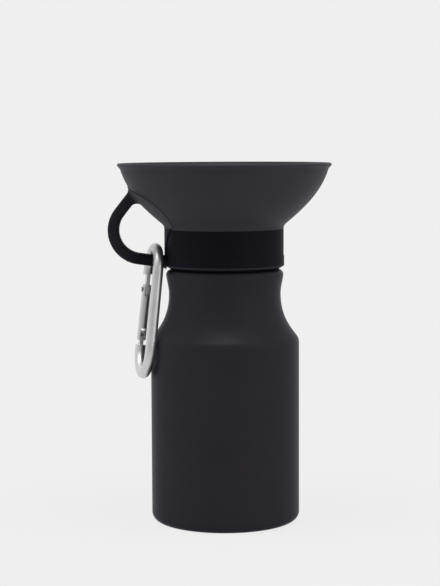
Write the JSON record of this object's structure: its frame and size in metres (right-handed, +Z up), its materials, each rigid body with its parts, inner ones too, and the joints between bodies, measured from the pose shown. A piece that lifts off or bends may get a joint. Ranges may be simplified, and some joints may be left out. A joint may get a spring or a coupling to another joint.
{
  "type": "dog travel water bottle",
  "caption": "Squeeze bottle for a dog, with a twist-open drinking bowl screwed on its neck, a soft carrying loop and a hanging sprung-gate clip.",
  "frame": {"origin": "centre of the foot, on the surface that the bottle stands on", "axes": "+Z up along the bottle's axis, -X towards the carrying loop and the clip, and the view of the picture looks along +Y"},
  "size_m": [0.1125, 0.1076, 0.1811],
  "materials": {
    "bottle_plastic": "fine matt grain, charcoal",
    "bowl_plastic": "satin charcoal",
    "sleeve_rubber": "soft matt near-black",
    "insert_plastic": "moulded grey",
    "tube_plastic": "natural, slightly cloudy",
    "plug_rubber": "soft grey",
    "seal_rubber": "black, smooth",
    "clip_aluminium": "satin, lightly brushed along the rod",
    "steel": "bright"
  },
  "bodies": {
    "bottle": {"bottle": "bottle_plastic"},
    "insert": {"neck_insert": "insert_plastic", "insert_o_ring": "seal_rubber", "dip_tube": "tube_plastic", "plug_seal": "plug_rubber"},
    "seal_ring": {"bowl_o_ring": "seal_rubber"},
    "lid": {"bowl": "bowl_plastic", "grip_sleeve": "sleeve_rubber", "splash_dome": "bowl_plastic"},
    "carabiner": {"carabiner_frame": "clip_aluminium", "gate_rivet": "steel"},
    "gate": {"carabiner_gate": "clip_aluminium", "latch_pin": "steel", "gate_spring": "steel"},
    "plunger": {"gate_plunger": "steel"}
  },
  "joints": [
    {"name": "top_lift", "type": "slide", "parent": "bottle", "child": "insert", "axis": [0, 0, 1], "range_m": [0, 0.15]},
    {"name": "lid_rise", "type": "slide", "parent": "insert", "child": "seal_ring", "axis": [0, 0, 1], "range_m": [0, 0.002]},
    {"name": "lid_turn", "type": "hinge", "parent": "seal_ring", "child": "lid", "pos_m": [0, 0, 0.136], "axis": [0, 0, 1], "range_deg": [0, 90]},
    {"name": "clip_swing", "type": "hinge", "parent": "lid", "child": "carabiner", "pos_m": [-0.0346, 0, 0.13824], "axis": [-0.2231, 0.9744, 0.0286], "range_deg": [0, 80]},
    {"name": "gate_swing", "type": "hinge", "parent": "carabiner", "child": "gate", "pos_m": [-0.03996, 0.01106, 0.11648], "axis": [-0.9665, -0.225, 0.1238], "range_deg": [0, 26], "stiffness_Nm_per_rad": 0.02, "springref_deg": -20.05},
    {"name": "plunger_slide", "type": "slide", "parent": "gate", "child": "plunger", "axis": [-0.1121, -0.0639, -0.9916], "range_m": [0, 0.001], "deforming": ["gate_spring"]}
  ],
  "couplings": [
    {"joint": "lid_rise", "follows": "lid_turn", "m_per_rad": 0.001273},
    {"joint": "plunger_slide", "follows": "gate_swing", "m_per_rad": 0.0021}
  ]
}
